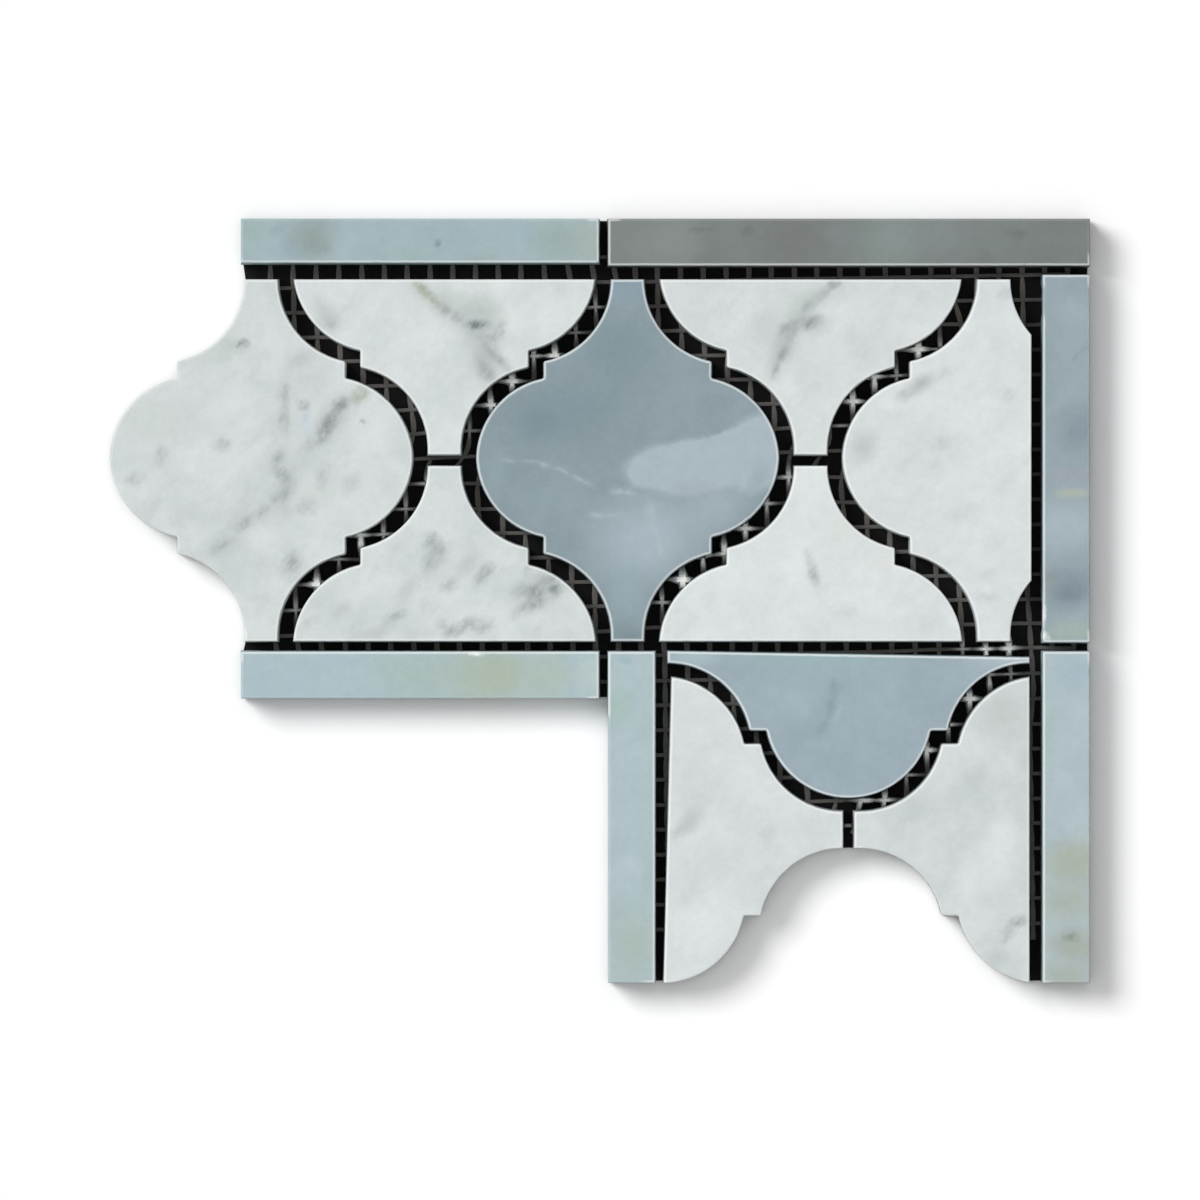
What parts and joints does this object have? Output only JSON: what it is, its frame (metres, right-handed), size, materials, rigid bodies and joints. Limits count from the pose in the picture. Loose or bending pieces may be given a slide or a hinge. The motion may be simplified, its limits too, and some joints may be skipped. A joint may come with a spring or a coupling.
{
  "type": "marble mosaic border corner tile",
  "caption": "L-shaped border corner of waterjet-cut marble: white and blue lantern shapes between straight strips, laid on a net-faced black backing.",
  "frame": {"origin": "centre of the tile's overall rectangle, on the underside of the backing sheet", "axes": "+X towards the outer side strips, +Y towards the top strips, +Z out of the polished faces"},
  "size_m": [0.2078, 0.1622, 0.0111],
  "materials": {
    "white_marble": "honed",
    "blue_marble": "honed",
    "pale_blue_marble": "honed",
    "grey_marble": "honed",
    "black_backing": "matte",
    "glass_net": "matte"
  },
  "bodies": {
    "root": {"end_lantern": "white_marble", "corner_lantern": "white_marble", "upper_left_half": "white_marble", "lower_left_half": "white_marble", "upper_right_half": "white_marble", "lower_right_half": "white_marble", "socket_left_half": "white_marble", "socket_right_half": "white_marble", "centre_lantern": "blue_marble", "lower_lantern": "blue_marble", "top_left_strip": "pale_blue_marble", "side_upper_strip": "pale_blue_marble", "side_lower_strip": "pale_blue_marble", "under_strip": "pale_blue_marble", "inner_strip": "pale_blue_marble", "top_corner_strip": "grey_marble", "backing_sheet": "black_backing", "net_cross_threads": "glass_net", "net_long_threads": "glass_net"}
  },
  "joints": []
}
